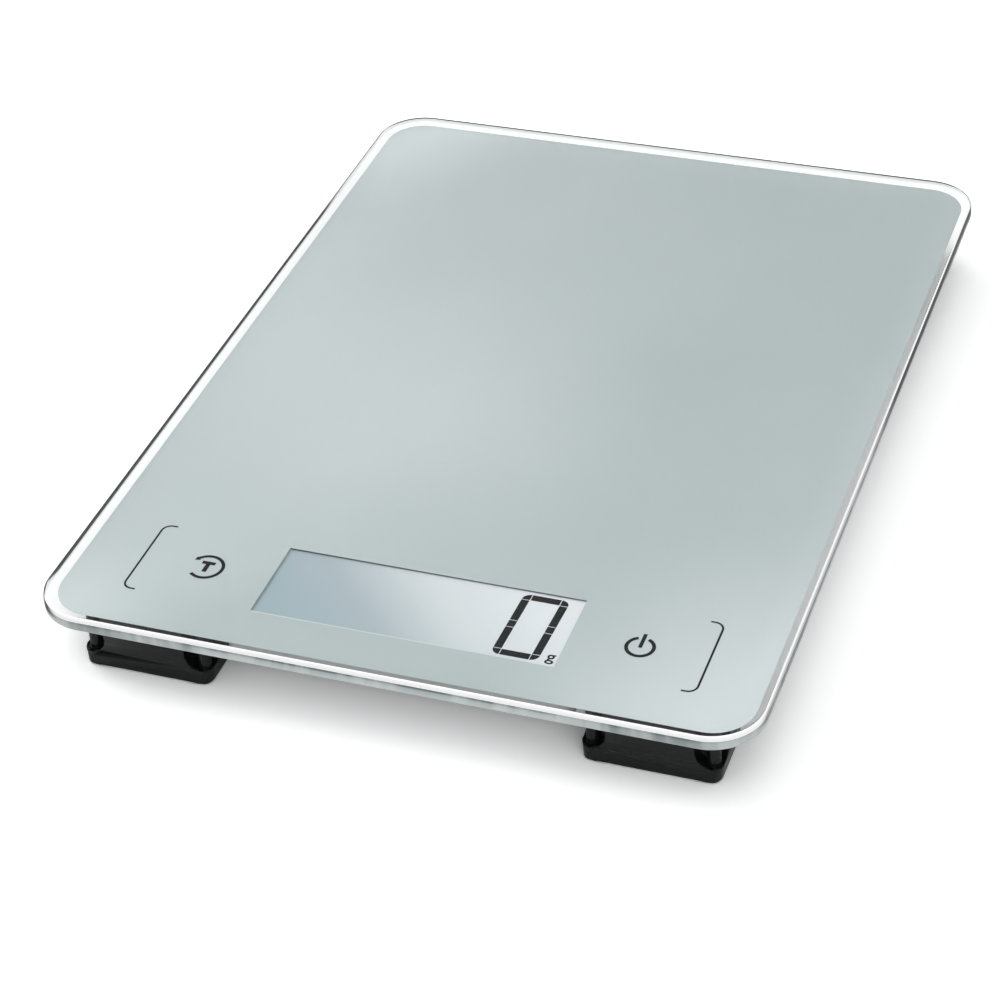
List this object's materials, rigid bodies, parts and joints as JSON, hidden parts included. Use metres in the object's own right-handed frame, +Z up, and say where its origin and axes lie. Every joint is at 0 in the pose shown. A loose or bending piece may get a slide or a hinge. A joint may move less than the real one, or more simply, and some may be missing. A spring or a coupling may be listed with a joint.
{
  "type": "kitchen scale",
  "caption": "Flat electronic kitchen scale: a bevelled glass platform with a silver print and a display, on black sensor feet with a battery housing below.",
  "frame": {"origin": "centre of the footprint, on the table that the rubber pads stand on", "axes": "+X to the user's right, +Y from the user to the rear, +Z up"},
  "size_m": [0.156, 0.216, 0.018],
  "materials": {
    "clear_glass": "polished, ground and bevelled edge",
    "silver_print": "satin silver screen print on the back of the glass",
    "display_glass": "matt reflective liquid crystal panel",
    "white_plastic": "moulded",
    "strip_rubber": "soft silicone",
    "green_board": "solder mask over glass fibre",
    "black_resin": "cast epoxy",
    "component_body": "fired ceramic and film",
    "screw_steel": "zinc plated",
    "copper_foil": "copper foil",
    "housing_plastic": "fine spark texture",
    "foot_gloss": "polished black moulding",
    "foot_plastic": "moulded",
    "pad_rubber": "soft, matt",
    "sprung_steel": "cold rolled sheet",
    "gauge_film": "film with etched foil",
    "nickel_plate": "nickel plated",
    "cell_jacket": "printed film over the can",
    "button_plastic": "moulded",
    "switch_plastic": "moulded",
    "cable_sheath": "soft sheath",
    "white_tape": "double-sided foam tape",
    "black_tape": "double-sided foam tape"
  },
  "bodies": {
    "platform": {"glass_platform": "clear_glass", "silver_print": "silver_print", "display_panel": "display_glass", "display_frame": "white_plastic", "display_connector_strips": "strip_rubber", "circuit_board": "green_board", "processor_cap": "black_resin", "board_components": "component_body", "board_screws": "screw_steel", "left_touch_electrode": "copper_foil", "right_touch_electrode": "copper_foil", "electronics_housing": "housing_plastic", "housing_tape": "white_tape", "battery_1": "cell_jacket", "battery_2": "cell_jacket", "series_contact": "nickel_plate", "positive_contact": "nickel_plate", "negative_contact": "nickel_plate", "battery_springs": "nickel_plate", "unit_switch": "switch_plastic", "switch_board": "green_board", "strain_gauges": "gauge_film", "cover_screws": "screw_steel", "left_cable_duct": "housing_plastic", "right_cable_duct": "housing_plastic", "duct_tape": "white_tape", "front_left_housing": "foot_gloss", "front_left_cover": "foot_gloss", "front_left_load_cell": "sprung_steel", "front_left_tape": "black_tape", "front_left_cable": "cable_sheath", "front_right_housing": "foot_gloss", "front_right_cover": "foot_gloss", "front_right_load_cell": "sprung_steel", "front_right_tape": "black_tape", "front_right_cable": "cable_sheath", "rear_left_housing": "foot_gloss", "rear_left_cover": "foot_gloss", "rear_left_load_cell": "sprung_steel", "rear_left_tape": "black_tape", "rear_left_cable": "cable_sheath", "rear_right_housing": "foot_gloss", "rear_right_cover": "foot_gloss", "rear_right_load_cell": "sprung_steel", "rear_right_tape": "black_tape", "rear_right_cable": "cable_sheath"},
    "front_left_foot_body": {"front_left_foot": "foot_plastic", "front_left_pad": "pad_rubber"},
    "front_right_foot_body": {"front_right_foot": "foot_plastic", "front_right_pad": "pad_rubber"},
    "rear_left_foot_body": {"rear_left_foot": "foot_plastic", "rear_left_pad": "pad_rubber"},
    "rear_right_foot_body": {"rear_right_foot": "foot_plastic", "rear_right_pad": "pad_rubber"},
    "door": {"battery_door": "housing_plastic"},
    "button": {"unit_button": "button_plastic"}
  },
  "joints": [
    {"name": "front_left_foot_give", "type": "slide", "parent": "platform", "child": "front_left_foot_body", "axis": [0, 0, 1], "range_m": [0, 0.0004], "stiffness_N_per_m": 30000},
    {"name": "front_right_foot_give", "type": "slide", "parent": "platform", "child": "front_right_foot_body", "axis": [0, 0, 1], "range_m": [0, 0.0004], "stiffness_N_per_m": 30000},
    {"name": "rear_left_foot_give", "type": "slide", "parent": "platform", "child": "rear_left_foot_body", "axis": [0, 0, 1], "range_m": [0, 0.0004], "stiffness_N_per_m": 30000},
    {"name": "rear_right_foot_give", "type": "slide", "parent": "platform", "child": "rear_right_foot_body", "axis": [0, 0, 1], "range_m": [0, 0.0004], "stiffness_N_per_m": 30000},
    {"name": "battery_door_slide", "type": "slide", "parent": "platform", "child": "door", "axis": [0, 1, 0], "range_m": [0, 0.022]},
    {"name": "unit_button_press", "type": "slide", "parent": "platform", "child": "button", "axis": [0, 0, 1], "range_m": [0, 0.0006], "stiffness_N_per_m": 1500}
  ]
}
